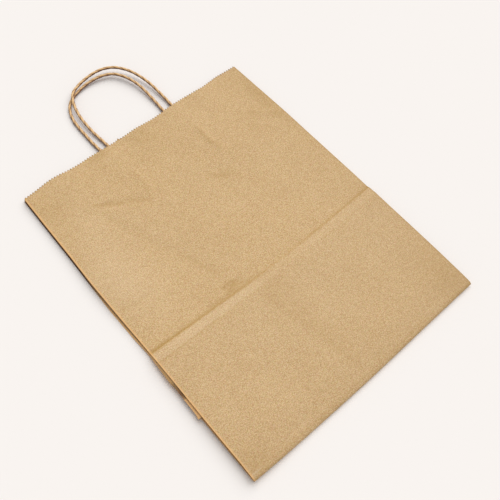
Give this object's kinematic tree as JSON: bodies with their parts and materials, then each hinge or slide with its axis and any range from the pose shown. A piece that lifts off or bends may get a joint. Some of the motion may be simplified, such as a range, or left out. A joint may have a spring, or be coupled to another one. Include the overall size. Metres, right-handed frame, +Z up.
{
  "type": "paper carrier bag",
  "caption": "Brown kraft paper carrier bag with a block bottom, side gussets, a zigzag-cut mouth and twisted paper cord handles, lying folded flat.",
  "frame": {"origin": "centre of the folded bag's bounding box, cords left out, on the surface that it lies on", "axes": "+Y from the bottom fold towards the mouth and the handles, +X across the bag to the right as seen from above, +Z up, away from the surface that it lies on"},
  "size_m": [0.2566, 0.4113, 0.0081],
  "materials": {
    "kraft_paper": "uncoated brown kraft paper, matte, faintly fibrous",
    "kraft_strip": "uncoated brown kraft strip, matte",
    "twisted_paper_cord": "tightly twisted kraft paper cord, matte with a faint sheen on its ridges"
  },
  "bodies": {
    "root": {"bag_body": "kraft_paper", "handle_patch_back": "kraft_strip", "handle_patch_front": "kraft_strip", "handle_cord_back": "twisted_paper_cord", "handle_cord_front": "twisted_paper_cord"}
  },
  "joints": []
}
